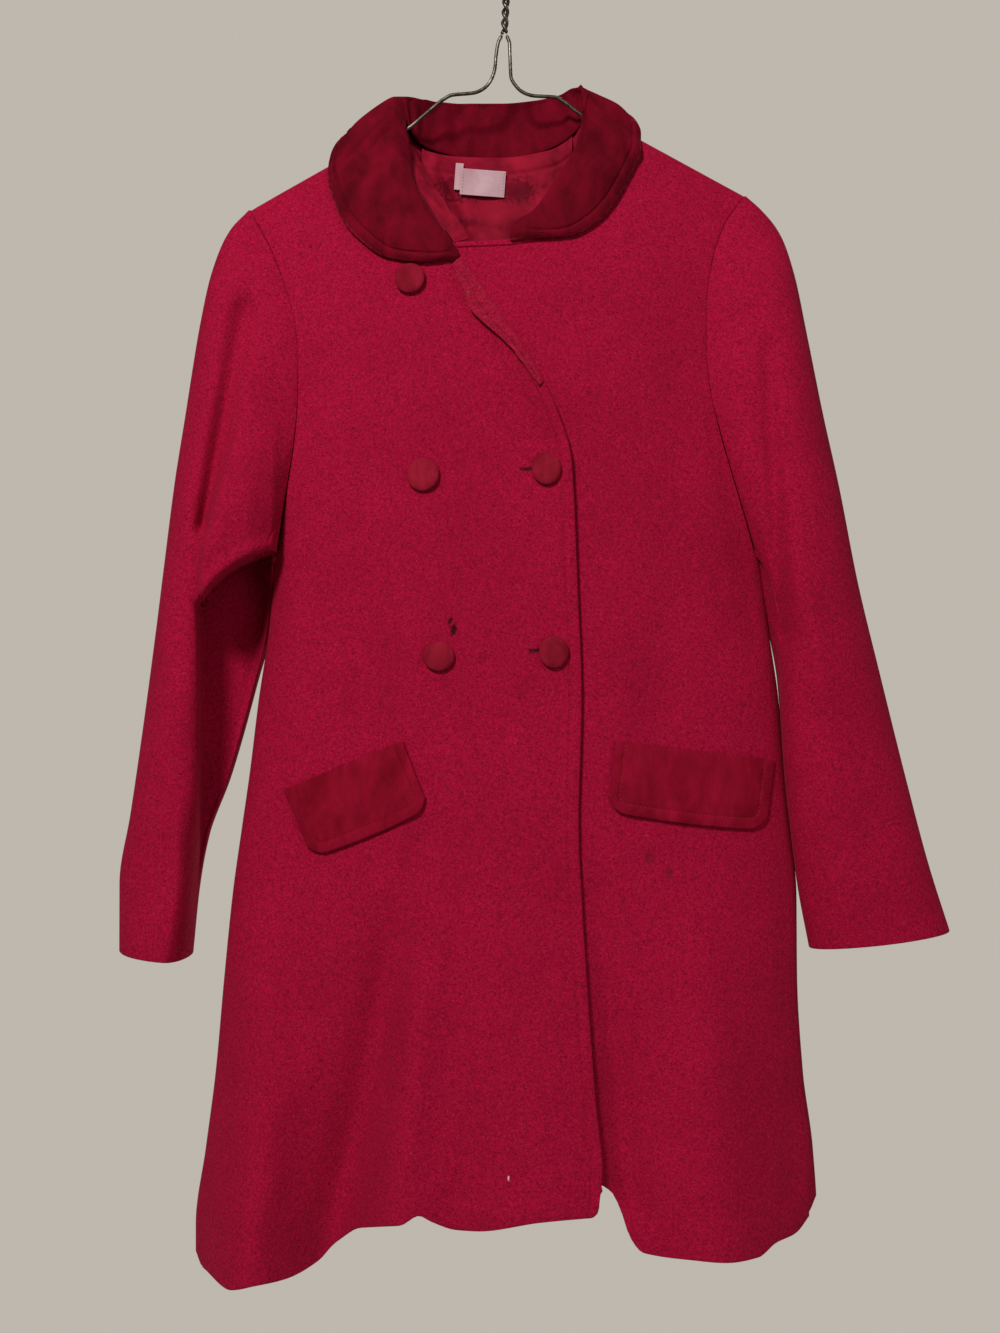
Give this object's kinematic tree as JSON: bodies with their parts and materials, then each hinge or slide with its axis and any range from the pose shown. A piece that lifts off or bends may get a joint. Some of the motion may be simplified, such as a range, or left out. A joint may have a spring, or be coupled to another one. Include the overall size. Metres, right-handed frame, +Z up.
{
  "type": "double-breasted coat on a wire hanger",
  "caption": "Red wool double-breasted coat with a dark red velvet collar, velvet pocket flaps and covered buttons, hanging on a twisted wire hanger.",
  "frame": {"origin": "inside top of the hanger's hook, where a rail carries it", "axes": "+Z up, -Y towards the viewer of the coat's front, +X to that viewer's right, which is the wearer's left"},
  "size_m": [0.5792, 0.1282, 0.9747],
  "materials": {
    "wool": "matte",
    "velvet": "matte",
    "satin": "satin",
    "tape": "satin",
    "wire": "satin"
  },
  "bodies": {
    "root": {"front_right": "wool", "front_left": "wool", "back": "wool", "sleeve_right_upper": "wool", "sleeve_right_under": "wool", "sleeve_left_upper": "wool", "sleeve_left_under": "wool", "collar": "velvet", "flap_right": "velvet", "flap_left": "velvet", "button_1": "velvet", "button_2": "velvet", "button_3": "velvet", "button_4": "velvet", "button_5": "velvet", "lining_back": "satin", "facing_neck": "satin", "facing_edge": "wool", "label": "tape", "hanger_hook": "wire", "hanger_twist": "wire", "hanger_arm_right": "wire", "hanger_arm_left": "wire", "hanger_bar": "wire"}
  },
  "joints": []
}
